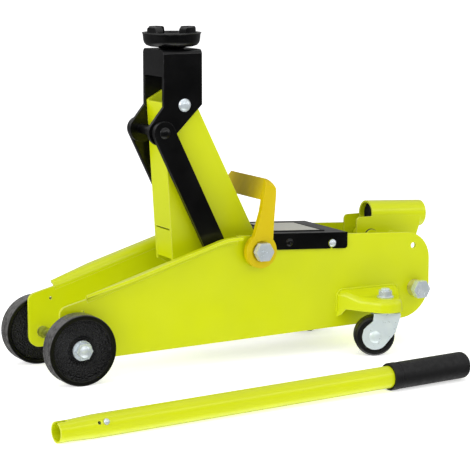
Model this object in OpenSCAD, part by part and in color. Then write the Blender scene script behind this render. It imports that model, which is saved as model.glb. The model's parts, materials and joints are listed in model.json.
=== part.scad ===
// Compact hydraulic trolley jack, arm raised, with its pump lever lying beside it.
// Frame: X runs from the front wheels (-) to the pump end (+), Y across the jack,
// Z up from the floor. The origin is on the floor under the lift arm's pivot.
// "near" parts are on the -Y side and "far" parts are their mirror images on +Y.

/* [Lift linkage] */
// Height of the lift arm's pivot above the floor
arm_pivot_z = 111; // [109:0.5:113]
// Horizontal reach from arm pivot to saddle bracket bolt, arm raised
arm_reach = 68.5; // [66:0.5:70]
// Height from arm pivot to saddle bracket bolt, arm raised
arm_rise = 142.5; // [138:0.5:146]
// Link pin set forward of the bracket bolt (same as the lower pivots' spacing)
link_offset_x = 25; // [24:0.5:26]
// Link pin set below the bracket bolt (same as the lower pivots' spacing)
link_offset_z = 25; // [24:0.5:26]
// Outer half width of the lift arm channel
arm_half_w = 18.8; // [18.4:0.1:18.9]
// Width of each link bar
link_w = 22; // [20:0.5:23]
// Radius from arm pivot to the ram's crank pin
crank_r = 38; // [37:0.5:39]

/* [Chassis] */
// Outer half width across the side plates
plate_half_w = 41; // [40.5:0.1:41.2]
// Thickness of the side plates
plate_t = 3; // [2.5:0.1:3.2]
// Front edge of the side plates
plate_front_x = -207; // [-210:1:-205]
// Rear edge of the side plates
plate_rear_x = 200; // [198:1:203]
// Overhang of the rolled top flange beyond the plate
flange_out = 11; // [9:0.5:12]

/* [Wheels] */
// Front wheel radius
wheel_r = 33.7; // [33:0.1:34]
// Front wheel width
wheel_w = 17.5; // [15:0.5:18]
// Front axle position
axle_x = -193; // [-194:0.5:-192.5]
// Caster wheel diameter
caster_d = 40; // [39:0.5:40]
// Caster wheel width
caster_w = 17; // [16:0.5:17]
// Caster swivel axis along the jack
swivel_x = 128.8; // [128:0.2:132]
// Caster swivel axis out from the mid-plane
swivel_y = 72; // [72:0.2:73]
// Trail from swivel axis to caster axle
trail = 11; // [10:0.5:11]
// Turn of both casters about their swivels, as they stand
caster_turn = 24; // [0:1:30]

/* [Saddle] */
// Saddle rim radius
saddle_r = 28.8; // [27:0.2:30]
// Height of the saddle's lugs above the floor, arm raised
saddle_top = 327.2; // [326:0.2:330]
// Saddle's turn about its own axis as it stands
saddle_turn = 17.5; // [0:0.5:90]

/* [Pump] */
// Height of the hydraulic ram's axis
ram_z = 78; // [77.5:0.1:78.5]
// Handle socket inner radius
socket_r = 11.5; // [11.4:0.1:11.7]
// Handle socket sheet thickness
socket_t = 1.9; // [1.5:0.1:2]
// Slope of the handle socket as it rests
socket_slope = 3; // [2:0.5:4]

/* [Lever] */
// Lever tube outer diameter
lever_d = 20.6; // [20:0.1:22.4]
// Lever length from tip to grip end
lever_len = 434; // [400:1:480]
// Grip length
grip_len = 90; // [80:1:110]
// Grip diameter
grip_d = 25.6; // [24.6:0.1:28]
// Lever's angle on the floor
lever_turn = 5.5; // [0:0.1:8]

/* [Hidden] */
$fn = 64;

// Points of the linkage in the X-Z plane. The lower link pivot repeats the
// upper pin's offset, so arm and links form an exact parallelogram.
arm_pivot = [0, arm_pivot_z];
bracket_pivot = arm_pivot + [-arm_reach, arm_rise];
link_top = bracket_pivot - [link_offset_x, link_offset_z];
link_foot = arm_pivot - [link_offset_x, link_offset_z];
arm_swing = 83.7;
crank = arm_pivot - crank_r * [sin(arm_swing / 2), cos(arm_swing / 2)];

fit = 0.06;
lime = [0.80, 0.86, 0.10];
black = [0.09, 0.09, 0.10];
zinc = [0.78, 0.80, 0.82];
iron = [0.30, 0.31, 0.33];

plate_in = plate_half_w - plate_t;
top_slope = 16.8;
rear_slope = -3;
hump_r = 70;
hump_c = [-25.4, 56.3];
flange_front_x = -179;
flange_bend = 8;

arm_t = 3.5;
arm_shaft_r = 8;
ring_in = 45.9;
ring_out = 52;
bracket_in = 19.3;
bracket_t = 4;
link_in = 26;
link_out = 32;
pin_r = 5;
axle_r = 5.5;
axle_pt = [axle_x, wheel_r];
wheel_in = 45.4;
wheel_out = wheel_in + wheel_w;

saddle_x = -70.8;
bracket_top = 306.5;
socket_pivot = [147, 110];
pusher = [171, 110];
socket_out = socket_r + socket_t;
socket_c = [150, 131.6];
socket_start = -1.3;
socket_len = 64.9;
valve_z = 62;
rear_bolt = [182.5, 58.5];
rear_collar_out = 49.6;
block_front = 118;
block_rear = 194;
block_half_w = 26;
block_base = 34;
block_top = 92;
spring_y = 22.4;
spring_z = 58;
spring_hook_x = crank[0] + 8;
spring_end_x = 112;
piston_x = 52;

caster_axle_z = caster_d / 2;
bracket_skin = 2.5;
fork_top = 43.5;
stud_r = 4;

stud_pin_r = 6;
flange_end = 85.6;
flange_foot = 4;
flange_skin = 0.1;
flange_lap = 2;
web_drop = 0.6;
cover_screw_at = [[35.6, 116], [84.6, 111.7]];
screw_r = 2.4;
rear_bolt_r = 5;
plunger_r = 6;
cylinder_r = 16;
piston_r = 13;
rod_r = 10;
tank_r = 24;
gland_rear = 48;
plunger_top = 105.7;
crank_pin_r = 6;
crank_low = arm_pivot_z - crank_r - 0.4;
yoke_half = 13.3;
saddle_stem_r = 7;
caster_axle_r = 3;
button_s = 42.5;
button_tilt = 62;
button_r = 2.6;

lever_tip = [-292.8, -239];
lever_mouth_r = lever_d / 2 - 1.1;
near_lean = 10.5;
far_lean = 21.5;
carry_front = -7.4;
carry_low = 48.3;
carry_top = 69.4;
carry_back = [
    [5.8, 55], [5, 60], [4.1, 63], [1.5, 66.2], [-0.9, 68.2], [-5.2, carry_top], [carry_front, carry_top]
];

// ---- helpers -------------------------------------------------------------

// Children drawn in (x, z) with their height pointing outward on the near side.
module near() { rotate([90, 0, 0]) children(); }
module far() { mirror([0, 1, 0]) rotate([90, 0, 0]) children(); }
module both() { near() children(); far() children(); }

// A flat outline made solid from distance a to distance b out of the mid-plane.
module slab(a, b) { translate([0, 0, a]) linear_extrude(b - a) children(); }

// A round bar across the jack from distance a to b, at a point of the X-Z plane.
module bar(p, r, a, b) { translate([p[0], p[1], a]) cylinder(h = b - a, r = r); }

function turn(a, r) = r * [cos(a), sin(a)];
// Angle, seen from a circle's centre c, at which a line from point p touches it.
function tangent_angle(p, c, r, side) = atan2(p[1] - c[1], p[0] - c[0]) + side * acos(r / norm(p - c));
function arc(c, r, a, b, n = 10) = [for (i = [0:n]) c + turn(a + (b - a) * i / n, r)];

// Flat bar with round ends of two radii and straight tangent sides.
module strut(p, rp, q, rq) {
    d = norm(q - p);
    head = atan2(q[1] - p[1], q[0] - p[0]);
    side = acos((rp - rq) / d);
    translate(p) circle(rp);
    translate(q) circle(rq);
    polygon([
        p + turn(head + side, rp), q + turn(head + side, rq),
        q + turn(head - side, rq), p + turn(head - side, rp)
    ]);
}

module hex_head(af, h) { cylinder(h = h, d = af / cos(30), $fn = 6); }

module dome(r, h) {
    ball = (r * r + h * h) / (2 * h);
    intersection() {
        translate([0, 0, h - ball]) sphere(ball);
        cylinder(h = h + 1, r = r);
    }
}

// Ring of rectangular section about the local Z axis.
module ring(r_out, r_in, a, b) {
    translate([0, 0, a]) difference() {
        cylinder(h = b - a, r = r_out);
        translate([0, 0, -1]) cylinder(h = b - a + 2, r = r_in);
    }
}

// ---- chassis ---------------------------------------------------------------

function plate_top(x) = arm_pivot_z + 14 + x * tan(rear_slope);

// Side plate outline: rounded nose, sloping top under the flange, flat rear
// top, two large rear corners and a nearly level lower edge.
module plate_outline() {
    web_r = hump_r - flange_bend - web_drop;
    step = hump_c + turn(flange_end, web_r);
    tangent = hump_c + turn(90 + top_slope, web_r);
    polygon(concat(
        arc([plate_front_x + 11, 30], 11, 180, 270),
        arc([plate_rear_x - 34, 62], 34, -90, 0),
        arc([plate_rear_x - 28, 88], 28, 0, 90 + rear_slope),
        [[step[0], plate_top(step[0])]],
        arc(hump_c, web_r, flange_end, 90 + top_slope, 5),
        [tangent + (flange_front_x - tangent[0]) * [1, tan(top_slope)]],
        [[flange_front_x - 1, 77.5]],
        arc([plate_front_x + 8, 64.5], 8, 105, 180)
    ));
}

// Section of the rolled flange: height above the bend, distance out. Its foot laps the web.
// skin shaves its faces so that they never lie on the web's or on a neighbour's.
module flange_section(skin) {
    centre = plate_in + flange_bend;
    thick = plate_t - 2 * skin;
    difference() {
        translate([0, centre]) intersection() {
            circle(flange_bend - skin);
            translate([0, -flange_bend]) square(flange_bend);
        }
        translate([0, centre]) circle(flange_bend - skin - thick);
    }
    translate([flange_bend - skin - thick, centre]) square([thick, plate_half_w + flange_out - skin - centre]);
    translate([-flange_foot, plate_in + skin]) square([flange_foot, thick]);
}

module side_plate() {
    web_r = hump_r - flange_bend;
    tangent = hump_c + turn(90 + top_slope, web_r);
    run = (tangent[0] - flange_front_x) / cos(top_slope);
    start = tangent - run * [cos(top_slope), sin(top_slope)];
    difference() {
        union() {
            slab(plate_in, plate_half_w) plate_outline();
            translate([start[0], start[1], 0]) rotate([0, 0, top_slope])
                rotate([90, 0, 90]) linear_extrude(run + flange_lap) flange_section(2 * flange_skin);
            translate([hump_c[0], hump_c[1], 0]) rotate([0, 0, flange_end])
                rotate_extrude(angle = 90 + top_slope - flange_end)
                    translate([web_r, 0]) flange_section(flange_skin);
        }
        // The flange narrows towards the front wheels.
        translate([0, 130, 0]) rotate([90, 0, 0]) linear_extrude(70)
            polygon([[-190, 45], [flange_front_x, 45], [-138, 52.1], [-138, 60], [-190, 60]]);
        bar(axle_pt, axle_r, 30, 50);
        bar(arm_pivot, arm_shaft_r, 30, 50);
        bar(rear_bolt, rear_bolt_r, 30, 50);
        bar([181, 102], 3, 30, 50);
        bar([-184, 66], 1.5, 30, 50);
        for (p = cover_screw_at) bar(p, screw_r, 30, 50);
    }
}

module side_plate_near() { color(lime) near() side_plate(); }
module side_plate_far() { color(lime) far() side_plate(); }

module front_axle() {
    color(zinc) near() bar(axle_pt, axle_r, -wheel_out - 2, wheel_out + 2);
}

module front_axle_nuts() {
    color(zinc) both() translate([axle_pt[0], axle_pt[1], 0]) {
        ring(9.5, axle_r, wheel_out - 3.3, wheel_out - 1.3);
        translate([0, 0, wheel_out - 1.3]) difference() {
            hex_head(14.5, 5.2);
            translate([0, 0, -1]) cylinder(h = 4.3, r = axle_r);
        }
        translate([0, 0, wheel_out + 3.9]) dome(6, 2.2);
    }
}

module axle_spacers() {
    color(zinc) both() translate([axle_pt[0], axle_pt[1], 0])
        ring(9, axle_r, plate_half_w, wheel_in - 0.3);
}

module arm_shaft() {
    color(zinc) near() difference() {
        union() {
            bar(arm_pivot, arm_shaft_r, -ring_out - 0.2, ring_out + 0.2);
            for (side = [0, 1]) mirror([0, 0, side])
                translate([arm_pivot[0], arm_pivot[1], 0]) ring(11, arm_shaft_r - 1, plate_half_w, ring_in - 0.2);
        }
        for (side = [0, 1]) mirror([0, 0, side]) bar(arm_pivot, 5, ring_out - 22, ring_out + 1);
    }
}

module arm_shaft_bolts() {
    color(zinc) both() translate([arm_pivot[0], arm_pivot[1], 0]) {
        translate([0, 0, ring_out + 0.2]) cylinder(h = 1.2, r = 8.4);
        translate([0, 0, ring_out + 1.4]) intersection() {
            hex_head(17, 6.4);
            translate([0, 0, -4]) sphere(13.9);
        }
        translate([0, 0, ring_out - 20]) cylinder(h = 20.4, r = 5);
    }
}

module link_studs() {
    color(iron) both() {
        bar(link_foot, stud_pin_r, link_in - 1.8, plate_in);
        translate([link_foot[0], link_foot[1], 0]) ring(9, stud_pin_r - 1, link_out + 0.3, plate_in);
    }
}

module link_clips() {
    color(zinc) both() translate([link_foot[0], link_foot[1], 0])
        ring(9.2, stud_pin_r, link_in - 1.4, link_in - 0.3);
}

// Folded sheet lid with a skirt over each side plate.
module cover_plate() {
    skin = 2;
    x0 = 18;
    x1 = 101.7;
    outer = plate_half_w + 0.3 + skin;
    color(black) difference() {
        near() union() {
            slab(-outer, outer) polygon([
                [x0, plate_top(x0)], [x1, plate_top(x1)],
                [x1, plate_top(x1) + skin], [x0, plate_top(x0) + skin]
            ]);
            for (side = [0, 1]) mirror([0, 0, side]) slab(plate_half_w + 0.3, outer) polygon(concat(
                [[x0, plate_top(x0) + skin], [x0, plate_top(x0) - 8]],
                arc([x0 + 6, plate_top(x0) - 8.7], 6, 180, 270, 5),
                arc([x1 - 3, plate_top(x1) - 11.2], 3, 270, 360, 4),
                [[x1, plate_top(x1) + skin]]
            ));
        }
        both() {
            bar(cover_screw_at[0], screw_r + 0.3, 36, 50);
            bar(cover_screw_at[1] - [0.8, 0], 4.2, 36, 50);
            slab(36, 50) translate(cover_screw_at[1] - [2.2, 8]) square([3, 8]);
        }
    }
}

module cover_screws() {
    color(zinc) both() for (p = cover_screw_at) {
        bar(p, screw_r, plate_in - 1, plate_half_w + 2.3);
        translate([p[0], p[1], plate_half_w + 2.3]) dome(4, 2);
    }
}

// ---- pump unit ------------------------------------------------------------

module pump_block() {
    ear_half = 10.6;
    color(iron) difference() {
        union() {
            near() slab(-block_half_w, block_half_w) polygon(concat(
                [[block_front, block_base], [block_rear - 18, block_base]],
                arc([block_rear - 16, block_base + 16], 16, -80, 0, 5),
                [[block_rear, 82], [block_rear - 10, block_top], [block_front, block_top]]
            ));
            near() for (side = [0, 1]) mirror([0, 0, side]) bar(rear_bolt, 11, block_half_w - 6, plate_in);
            near() slab(-ear_half, ear_half) {
                translate(socket_pivot) circle(7);
                translate([socket_pivot[0] - 7, block_top - 4]) square([14, socket_pivot[1] - block_top + 4]);
            }
            translate([pusher[0], 0, block_top - 1]) cylinder(h = 4, r = 9);
        }
        near() bar(socket_pivot, pin_r, -20, 20);
        translate([pusher[0], 0, 56]) cylinder(h = 60, r = plunger_r + fit);
        translate([block_rear - 16, 0, valve_z]) rotate([0, 90, 0]) cylinder(h = 30, r = pin_r + fit);
        both() bar(rear_bolt, rear_bolt_r, 20, 60);
        translate([block_front - 1, 0, ram_z]) rotate([0, 90, 0]) cylinder(h = 9, r = cylinder_r);
        both() translate([block_front - 1, spring_z, spring_y]) rotate([0, 90, 0]) cylinder(h = 6, r = 2);
        translate([block_front + 12, block_half_w - 8, 50]) rotate([-90, 0, 0]) cylinder(h = 20, r = 5);
    }
}

// Round bar along X from a to b at height z.
module x_bar(z, r, a, b) { translate([a, 0, z]) rotate([0, 90, 0]) cylinder(h = b - a, r = r); }

module reservoir_tube() {
    color(iron) difference() {
        x_bar(ram_z, tank_r, gland_rear, block_front);
        x_bar(ram_z, tank_r - 2.2, gland_rear - 1, block_front + 1);
        translate([92, 0, ram_z]) cylinder(h = 40, r = 5);
    }
}

module ram_cylinder() {
    color(zinc) difference() {
        x_bar(ram_z, cylinder_r, gland_rear, block_front + 8);
        x_bar(ram_z, piston_r + fit, gland_rear - 1, block_front + 9);
    }
}

module ram_gland() {
    color(iron) difference() {
        x_bar(ram_z, tank_r, gland_rear - 6, gland_rear);
        x_bar(ram_z, rod_r + fit, gland_rear - 7, gland_rear + 1);
    }
}

module filler_plug() {
    color(black) translate([92, 0, ram_z + tank_r - 3.4]) {
        cylinder(h = 4, r = 5);
        translate([0, 0, 4]) cylinder(h = 4, r = 7);
    }
}

module relief_screw() {
    color(zinc) translate([block_front + 12, block_half_w - 8, 50]) rotate([-90, 0, 0]) {
        cylinder(h = 8, r = 5);
        translate([0, 0, 8]) hex_head(12, 4);
    }
}

module rear_bolts() {
    color(zinc) both() {
        bar(rear_bolt, rear_bolt_r, 22, rear_collar_out + 1);
        translate([rear_bolt[0], rear_bolt[1], rear_collar_out]) intersection() {
            hex_head(17, 7);
            translate([0, 0, -7]) sphere(16.75);
        }
    }
}

module rear_bolt_collars() {
    color([0.75, 0.72, 0.5]) both() translate([rear_bolt[0], rear_bolt[1], 0])
        ring(8.6, rear_bolt_r, plate_half_w, rear_collar_out);
}

module spring_anchors() {
    color(zinc) both() translate([0, spring_z, spring_y]) {
        rotate([0, 90, 0]) translate([0, 0, spring_end_x]) cylinder(h = block_front + 5 - spring_end_x, r = 2);
        translate([spring_end_x - 1, 0, 0]) sphere(3);
    }
}

module socket_pivot_pin() {
    color(zinc) near() {
        bar(socket_pivot, pin_r, -socket_out - 2, socket_out + 2);
        for (side = [0, 1]) mirror([0, 0, side]) bar(socket_pivot, 7.2, socket_out + 1, socket_out + 2.6);
    }
}

// Tube for the lever with two cheeks hanging from its sides.
module handle_socket() {
    color(lime) difference() {
        union() {
            translate([socket_c[0], 0, socket_c[1]]) rotate([0, socket_slope, 0])
                translate([socket_start, 0, 0]) rotate([0, 90, 0]) difference() {
                    cylinder(h = socket_len, r = socket_out);
                    translate([0, 0, -1]) cylinder(h = socket_len + 2, r = socket_r);
                }
            near() for (side = [0, 1]) mirror([0, 0, side]) slab(socket_r + 0.1, socket_out) {
                polygon(concat([
                    [149, 130.4], [207, 127.4], [205.5, 118], [202, 108], [199, 106.5], [170, 104],
                    [150, 104], [132, 107.2], [130.2, 109]
                ], arc([134.4, 126.2], 4.2, 180, 90, 4)));
                strut(socket_pivot, 10, pusher, 9);
            }
        }
        near() {
            bar(socket_pivot, pin_r + fit, -20, 20);
            bar(pusher, 4, -20, 20);
        }
        translate([207, 0, 130]) cylinder(h = 20, r = 2.2);
    }
}

module pusher_pin() {
    color(zinc) near() bar(pusher, 4, -socket_out - 1, socket_out + 1);
}

module pump_plunger() {
    color(zinc) translate([pusher[0], 0, 0]) {
        translate([0, 0, 60]) cylinder(h = plunger_top - 60, r = plunger_r);
        translate([0, 0, plunger_top - 3]) cylinder(h = 3, r = 9);
    }
}

module plunger_spring() {
    color(iron) translate([pusher[0], 0, 0]) ring(8.6, 6.6, block_top + 3.2, plunger_top - 3.2);
}

module release_valve() {
    x0 = block_rear - 15;
    color(zinc) {
        x_bar(valve_z, pin_r, x0, block_rear + 1);
        x_bar(valve_z, 8, block_rear + 0.4, block_rear + 3);
        x_bar(valve_z, 6, block_rear + 3, block_rear + 16);
        translate([block_rear + 11, -9.5, valve_z]) rotate([-90, 0, 0]) cylinder(h = 19, r = 1.5);
    }
}

// ---- lift arm --------------------------------------------------------------

web_top = bracket_pivot + [-20.4, 2.6];
web_foot = arm_pivot + [-79.5, -10];
seam = 0.205;

// Everything the arm's side sheets cover, as one closed outline.
module arm_outline() {
    strut(bracket_pivot, 13, arm_pivot, 14.5);
    strut(arm_pivot, 14.5, crank, 12);
    strut(web_foot + [3, 3], 3, crank, 12);
    strut(web_top + [1.5, 0], 1.5, bracket_pivot, 13);
    polygon([web_top, bracket_pivot, arm_pivot, crank, web_foot]);
}

module web_sheet(a, b, t) {
    dir = (web_top - web_foot) / norm(web_top - web_foot);
    side = [dir[1], -dir[0]];
    p = web_foot + a * (web_top - web_foot);
    q = web_foot + b * (web_top - web_foot);
    polygon([p, q, q + t * side, p + t * side]);
}

module lift_arm() {
    color(lime) difference() {
        near() {
            for (side = [0, 1]) mirror([0, 0, side]) slab(arm_half_w - arm_t, arm_half_w) arm_outline();
            slab(-arm_half_w, arm_half_w) web_sheet(seam + 0.005, 1, arm_t);
            translate([arm_pivot[0], arm_pivot[1], 0]) ring(12.5, arm_shaft_r + fit, -arm_half_w + 1, arm_half_w - 1);
        }
        near() {
            bar(arm_pivot, arm_shaft_r + fit, -30, 30);
            bar(bracket_pivot, pin_r + fit, -30, 30);
            bar(crank, crank_pin_r, -30, 30);
        }
    }
}

module arm_lower_web() {
    color(lime) near() slab(-arm_half_w + arm_t, arm_half_w - arm_t) web_sheet(0.02, seam - 0.005, arm_t);
}

module crank_pin() {
    color(zinc) near() {
        bar(crank, crank_pin_r, -arm_half_w - 1.5, arm_half_w + 1.5);
        for (side = [0, 1]) mirror([0, 0, side]) bar(crank, 8, arm_half_w, arm_half_w + 2);
    }
}

// ---- saddle and its bracket -----------------------------------------------

module bracket_outline() {
    left = bracket_pivot[0] - 22;
    right = bracket_pivot[0] + 18.7;
    polygon(concat(
        [[right, bracket_top - bracket_t], [left, bracket_top - bracket_t]],
        [[left, 252.5]],
        arc(link_top, 13, 155, 315),
        [[right, 253.6]]
    ));
}

module saddle_bracket() {
    left = bracket_pivot[0] - 22;
    right = bracket_pivot[0] + 18.7;
    outer = bracket_in + bracket_t;
    bend = 5;
    color(black) difference() {
        union() {
            near() for (side = [0, 1]) mirror([0, 0, side]) slab(bracket_in, outer) bracket_outline();
            // Top plate with rounded bends, and the short flange turned down at its front.
            translate([left, 0, 0]) rotate([90, 0, 90]) linear_extrude(right - left) difference() {
                union() {
                    translate([-outer + bend, bracket_top - bend]) circle(bend);
                    translate([outer - bend, bracket_top - bend]) circle(bend);
                    translate([-outer + bend, bracket_top - bracket_t]) square([2 * (outer - bend), bracket_t]);
                    translate([-outer, bracket_top - bend - 2]) square([bracket_t, 2]);
                    translate([outer - bracket_t, bracket_top - bend - 2]) square([bracket_t, 2]);
                }
                translate([-bracket_in, bracket_top - 14]) square([2 * bracket_in, 14 - bracket_t]);
            }
            translate([left, -bracket_in, 281]) cube([bracket_t, 2 * bracket_in, bracket_top - bracket_t - 281 + 1]);
        }
        near() {
            bar(bracket_pivot, pin_r, -40, 40);
            bar(link_top, pin_r, -40, 40);
        }
        translate([saddle_x, 0, 290]) cylinder(h = 30, r = saddle_stem_r + fit);
    }
}

module bracket_bolt() {
    outer = bracket_in + bracket_t;
    color(zinc) near() {
        bar(bracket_pivot, pin_r, -outer - 2.5, outer);
        translate([bracket_pivot[0], bracket_pivot[1], outer]) dome(6.5, 3.6);
    }
}

module bracket_nut() {
    color(zinc) far() translate([bracket_pivot[0], bracket_pivot[1], bracket_in + bracket_t]) difference() {
        hex_head(13, 2.4);
        translate([0, 0, -1]) cylinder(h = 5, r = pin_r);
    }
}

module link_top_pin() {
    outer = bracket_in + bracket_t;
    color(black) near() {
        bar(link_top, pin_r, -link_out - 0.3, link_out + 0.3);
        for (side = [0, 1]) mirror([0, 0, side]) {
            translate([link_top[0], link_top[1], 0]) ring(8, pin_r - 1, outer, link_in - 0.3);
            translate([link_top[0], link_top[1], link_out + 0.3]) dome(5.6, 2.2);
        }
    }
}

module link_bar() {
    lie = atan2(link_foot[1] - link_top[1], link_foot[0] - link_top[0]);
    color(black) difference() {
        slab(link_in, link_out) polygon(concat(
            arc(link_top, link_w / 2, lie + 90, lie + 270, 24),
            arc(link_foot, link_w / 2, lie - 90, lie + 90, 24)
        ));
        bar(link_top, pin_r + fit, 20, 40);
        bar(link_foot, stud_pin_r + fit, 20, 40);
    }
}
module link_near() { near() link_bar(); }
module link_far() { far() link_bar(); }

// Cup with a steep wall, a sunk floor and four gripping lugs.
module saddle() {
    base = bracket_top + 2.2;
    rim = base + 13.4;
    color(black) translate([saddle_x, 0, 0]) rotate([0, 0, saddle_turn]) {
        rotate_extrude() polygon(concat(
            [[0, base - 1.9], [12, base - 1.9], [14, base], [saddle_r - 7.8, base]],
            [[saddle_r - 4.3, base + 1.2], [saddle_r - 2.3, base + 3.5], [saddle_r - 1.5, base + 6]],
            [[saddle_r - 0.9, rim - 1.6], [saddle_r, rim - 0.6], [saddle_r - 0.5, rim], [saddle_r - 3, rim]],
            [[saddle_r - 4.6, rim - 6], [0, rim - 6]]
        ));
        translate([0, 0, bracket_top - bracket_t - 4.5]) cylinder(h = base - bracket_top + bracket_t + 5, r = saddle_stem_r);
        for (a = [0 : 90 : 270]) rotate([0, 0, a]) intersection() {
            translate([saddle_r - 11.5, 0, 0]) rotate([90, 0, 90]) linear_extrude(9.5) polygon(concat(
                [[-7.6, rim - 7], [7.6, rim - 7]],
                arc([4, saddle_top - 2.5], 2.5, 15, 90, 3), arc([-4, saddle_top - 2.5], 2.5, 90, 165, 3)
            ));
            translate([0, 0, rim - 8]) cylinder(h = 20, r = saddle_r - 2);
        }
    }
}

module saddle_clip() {
    color(zinc) translate([saddle_x, 0, 0])
        ring(10, saddle_stem_r, bracket_top - bracket_t - 2.2, bracket_top - bracket_t - 0.3);
}

// ---- ram --------------------------------------------------------------------

module ram_rod() {
    color(zinc) x_bar(ram_z, rod_r, crank[0] + yoke_half, piston_x + 12);
}

module ram_seal() {
    color(black) translate([piston_x, 0, ram_z]) rotate([0, 90, 0]) ring(piston_r, rod_r, 0, 10);
}

// Slotted yoke: the crank pin rises and falls in the slot as it swings.
module ram_yoke() {
    slot_x = crank_pin_r + 1.3;
    color(iron) near() difference() {
        union() {
            slab(-12.6, 12.6) translate([crank[0] - yoke_half, 61]) square([2 * yoke_half, 34]);
            slab(-8, 8) translate([spring_hook_x - 5.5, 52.5]) square([11, 9]);
        }
        slab(-20, 20) {
            translate([crank[0], crank_low]) circle(slot_x);
            translate([crank[0], crank[1]]) circle(slot_x);
            translate([crank[0] - slot_x, crank_low]) square([2 * slot_x, crank[1] - crank_low]);
        }
        bar([spring_hook_x, spring_z], 2.5, -20, 20);
    }
}

module spring_pin() {
    color(zinc) near() bar([spring_hook_x, spring_z], 2.5, -25.6, 25.6);
}

module return_spring() {
    color(zinc) translate([0, spring_z, spring_y]) rotate([0, 90, 0])
        ring(3.2, 1.9, spring_hook_x + 2.7, spring_end_x - 4.2);
}
module return_spring_near() { near() return_spring(); }
module return_spring_far() { far() return_spring(); }

// ---- carry handle ------------------------------------------------------------

// One leg with its hub, drawn upright.
module carry_leg() {
    slab(ring_in, ring_out) {
        circle(16.5);
        polygon(concat([[-10.5, 10], [10.7, 10], [9.8, 17], [7.4, 38]], carry_back, [[carry_front, 38]]));
    }
}

// The far leg leans further back, so the grip bar runs across at a slight angle.
module carry_handle() {
    mean = (near_lean + far_lean) / 2;
    corner = 9;
    lid = carry_top + 0.6;
    color([0.95, 0.80, 0.08]) difference() {
        translate([0, 0, arm_pivot_z]) intersection() {
            union() {
                rotate([0, near_lean, 0]) near() carry_leg();
                rotate([0, far_lean, 0]) far() carry_leg();
                rotate([0, mean, 0]) rotate([0, 0, (near_lean - far_lean) * 0.65]) near() slab(-ring_in - 1, ring_in + 1)
                    polygon(concat([[carry_front, carry_low], [6.4, carry_low]], carry_back));
            }
            rotate([0, mean, 0]) rotate([90, 0, 90]) translate([0, 0, -40]) linear_extrude(80) union() {
                translate([-ring_out + corner, 20]) square([2 * ring_out - 2 * corner, lid - 20]);
                translate([-ring_out - 1, -20]) square([2 * ring_out + 2, lid - corner + 20]);
                for (s = [-1, 1]) translate([s * (ring_out - corner), lid - corner]) circle(corner);
            }
        }
        near() bar(arm_pivot, arm_shaft_r + fit, -60, 60);
        both() bar(arm_pivot, 10.3, ring_out - 1.6, ring_out + 1);
    }
}

// ---- wheels --------------------------------------------------------------------

module front_wheel() {
    rim = 4.5;
    w = wheel_out;
    color(black) translate([axle_pt[0], axle_pt[1], 0]) rotate_extrude() polygon([
        [axle_r + fit, wheel_in], [13, wheel_in], [15, wheel_in + 2], [wheel_r - rim, wheel_in + 2],
        [wheel_r - rim + 1, wheel_in], [wheel_r - 0.8, wheel_in], [wheel_r, wheel_in + 0.8],
        [wheel_r, w - 0.8], [wheel_r - 0.8, w], [wheel_r - rim, w], [wheel_r - rim - 1.5, w - 2.4],
        [14.5, w - 1.8], [12, w - 3.6], [axle_r + fit, w - 3.6]
    ]);
}
module front_wheel_near() { near() front_wheel(); }
module front_wheel_far() { far() front_wheel(); }

// Outline seen from above of the welded caster bracket, shrunk by an inset.
module caster_bracket_plan(inset) {
    front = [91 + inset, plate_half_w - inset];
    rear = [163 - inset, plate_half_w - inset];
    tip = [swivel_x, swivel_y];
    r = 17 - inset;
    polygon(concat([front, rear], arc(tip, r, tangent_angle(rear, tip, r, 1), tangent_angle(front, tip, r, -1) + 360)));
}

module caster_bracket_near() {
    y0 = plate_half_w;
    color(lime) mirror([0, 1, 0]) difference() {
        intersection() {
            linear_extrude(80) caster_bracket_plan(0);
            translate([80, 0, 0]) rotate([90, 0, 90]) linear_extrude(100) polygon([
                [y0, 36.5], [y0 + 4, 36.5], [y0 + 8, 44.6], [95, 44.6], [95, 58], [y0 + 17, 58], [y0, 63.5]
            ]);
        }
        intersection() {
            translate([0, 0, -1]) linear_extrude(80) caster_bracket_plan(bracket_skin);
            translate([80, 0, 0]) rotate([90, 0, 90]) linear_extrude(100) polygon([
                [y0 - 1, 30], [95, 30], [95, 58 - bracket_skin], [y0 + 16, 58 - bracket_skin], [y0 - 1, 61.3]
            ]);
        }
        translate([swivel_x, swivel_y, 50]) cylinder(h = 20, r = stud_r);
    }
}
module caster_bracket_far() { mirror([0, 1, 0]) caster_bracket_near(); }

module at_casters() {
    for (side = [0, 1]) mirror([0, side, 0]) translate([swivel_x, -swivel_y, 0]) children();
}

module caster_studs() {
    color(zinc) at_casters() {
        translate([0, 0, fork_top - 3.6]) cylinder(h = 1.3, r = 6.5);
        translate([0, 0, fork_top - 3.6]) cylinder(h = 67 - fork_top + 3.6, r = stud_r);
        translate([0, 0, fork_top + 0.3]) cylinder(h = 4, r = 12.5);
        translate([0, 0, fork_top + 4.3]) cylinder(h = 55.5 - fork_top - 4.3, r = 8);
    }
}

module caster_nuts() {
    color(zinc) at_casters() translate([0, 0, 58]) {
        ring(8.4, stud_r, 0, 1.4);
        translate([0, 0, 1.4]) difference() {
            hex_head(13, 5.6);
            translate([0, 0, -1]) cylinder(h = 8, r = stud_r);
        }
    }
}

// Near caster's own frame: swivel at the origin, axle set back by the trail.
module caster_frame() { translate([swivel_x, -swivel_y, 0]) rotate([0, 0, -caster_turn]) children(); }

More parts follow.
